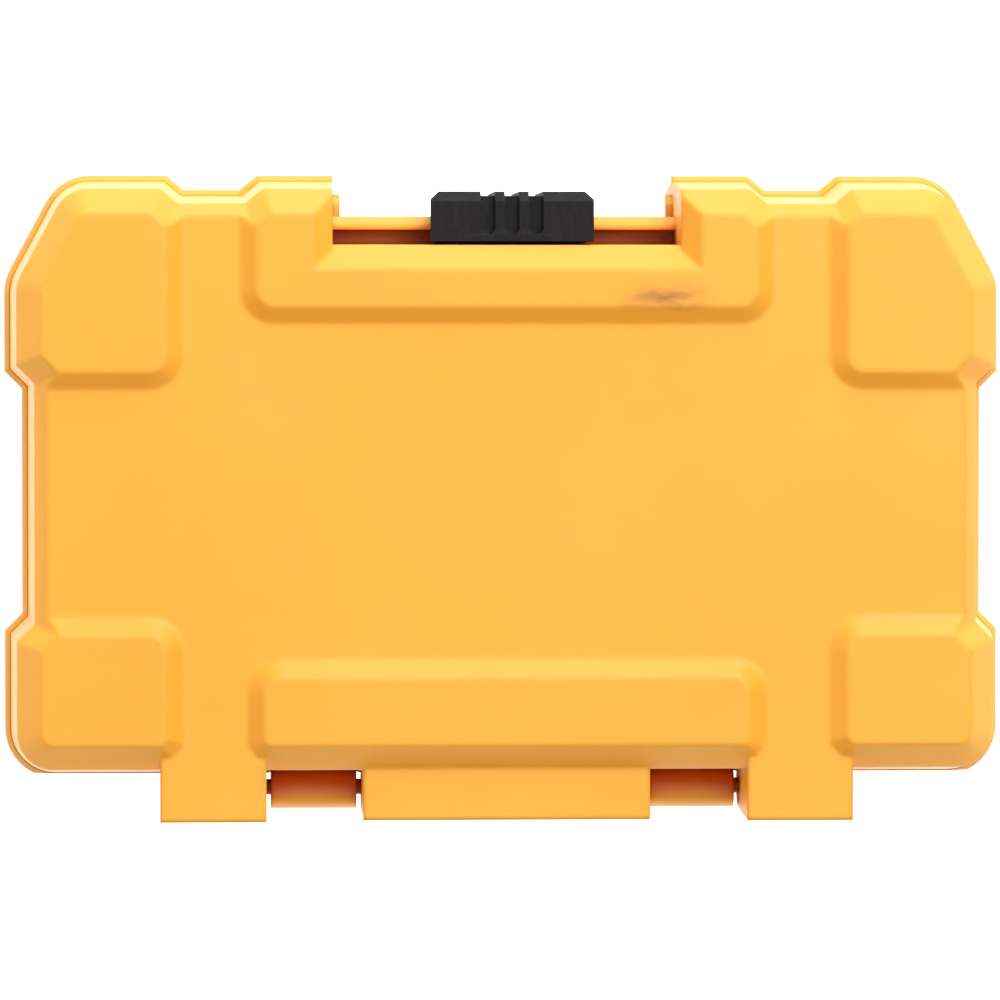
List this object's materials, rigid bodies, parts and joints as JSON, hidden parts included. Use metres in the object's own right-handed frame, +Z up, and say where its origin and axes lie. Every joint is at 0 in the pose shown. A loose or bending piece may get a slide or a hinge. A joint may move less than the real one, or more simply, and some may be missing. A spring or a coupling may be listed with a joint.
{
  "type": "screwdriver bit case",
  "caption": "Hinged two-shell plastic case with a sliding latch, holding screwdriver bits in tilting bars, long bits and a magnetic bit holder.",
  "frame": {"origin": "centre of the bounding box's underside, where the closed case lies on its base", "axes": "+X to the case's right seen from its latch side, -Y towards the latch, +Y towards the hinge, +Z up from base to lid"},
  "size_m": [0.16, 0.1026, 0.04],
  "materials": {
    "shell_plastic": "satin moulded yellow-orange plastic",
    "black_plastic": "satin moulded black plastic",
    "spring_steel": "drawn spring steel wire",
    "bit_steel": "bead blasted tool steel",
    "holder_steel": "satin turned steel",
    "magnet": "nickel plate"
  },
  "bodies": {
    "base": {"base_shell": "shell_plastic", "bit_tray": "black_plastic", "long_phillips_bit": "bit_steel", "long_square_bit": "bit_steel", "holder_shank": "holder_steel", "holder_sleeve": "holder_steel", "holder_magnet": "magnet", "holder_ring": "spring_steel", "holder_bit": "bit_steel"},
    "lid": {"lid_shell": "shell_plastic", "hinge_pin_left": "shell_plastic", "hinge_pin_right": "shell_plastic"},
    "latch": {"latch_slider": "black_plastic"},
    "rear_bar": {"rear_bit_bar": "black_plastic", "phillips_bits": "bit_steel", "pozidriv_bits": "bit_steel", "square_bits": "bit_steel"},
    "front_bar": {"front_bit_bar": "black_plastic", "star_bits": "bit_steel", "hexagon_bits": "bit_steel", "slotted_bits": "bit_steel"}
  },
  "joints": [
    {"name": "lid_hinge", "type": "hinge", "parent": "base", "child": "lid", "pos_m": [0, 0.04707, 0.02], "axis": [-1, 0, 0], "range_deg": [0, 180]},
    {"name": "latch_slide", "type": "slide", "parent": "lid", "child": "latch", "axis": [1, 0, 0], "range_m": [0, 0.0065]},
    {"name": "rear_bar_tilt", "type": "hinge", "parent": "base", "child": "rear_bar", "pos_m": [0, 0.03267, 0.0119], "axis": [-1, 0, 0], "range_deg": [0, 90]},
    {"name": "front_bar_tilt", "type": "hinge", "parent": "base", "child": "front_bar", "pos_m": [0, 0.00447, 0.0119], "axis": [-1, 0, 0], "range_deg": [0, 90]}
  ]
}
